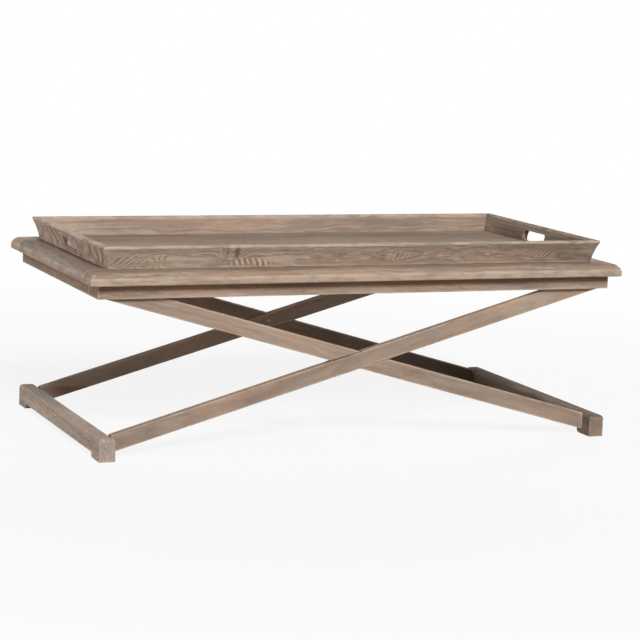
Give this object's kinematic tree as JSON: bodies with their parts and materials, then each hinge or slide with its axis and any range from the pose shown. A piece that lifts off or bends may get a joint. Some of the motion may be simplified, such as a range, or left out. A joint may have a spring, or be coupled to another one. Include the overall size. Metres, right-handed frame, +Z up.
{
  "type": "coffee table",
  "caption": "Low oblong table: crossed legs on two footed floor rails carry a moulded top board, on which a lift-off tray with flared coved walls and hand slots lies loose.",
  "frame": {"origin": "on the floor, under the middle of the table", "axes": "+X along the long side to the right, +Y from the front to the back, +Z up"},
  "size_m": [1.35, 0.675, 0.4803],
  "materials": {
    "top_wood": "limed and worn, matt",
    "frame_wood": "limed and worn, matt",
    "leg_wood": "limed and worn, matt",
    "tray_wood": "limed and worn, matt",
    "dowel_wood": "raw",
    "screw_steel": "dull zinc"
  },
  "bodies": {
    "table": {"board_edge_front": "top_wood", "board_edge_back": "top_wood", "board_end_left": "top_wood", "board_end_right": "top_wood", "top_plank_1": "top_wood", "top_plank_2": "top_wood", "top_plank_3": "top_wood", "top_plank_4": "top_wood", "apron_front": "frame_wood", "apron_back": "frame_wood", "apron_left": "frame_wood", "apron_right": "frame_wood", "cross_bar_left": "frame_wood", "cross_bar_right": "frame_wood", "front_leg_falling_right": "leg_wood", "front_leg_falling_left": "leg_wood", "back_leg_falling_left": "leg_wood", "back_leg_falling_right": "leg_wood", "floor_rail_left": "leg_wood", "floor_rail_right": "leg_wood", "board_dowels": "dowel_wood", "apron_dowels": "dowel_wood", "leg_screws": "screw_steel", "board_screws": "screw_steel", "crossing_screws": "screw_steel"},
    "tray": {"tray_wall_front": "tray_wood", "tray_wall_back": "tray_wood", "tray_wall_left": "tray_wood", "tray_wall_right": "tray_wood", "tray_floor": "tray_wood", "tray_corner_pins": "screw_steel"}
  },
  "joints": [
    {"name": "tray_lift", "type": "slide", "parent": "table", "child": "tray", "axis": [0, 0, 1], "range_m": [0, 0.25]}
  ]
}
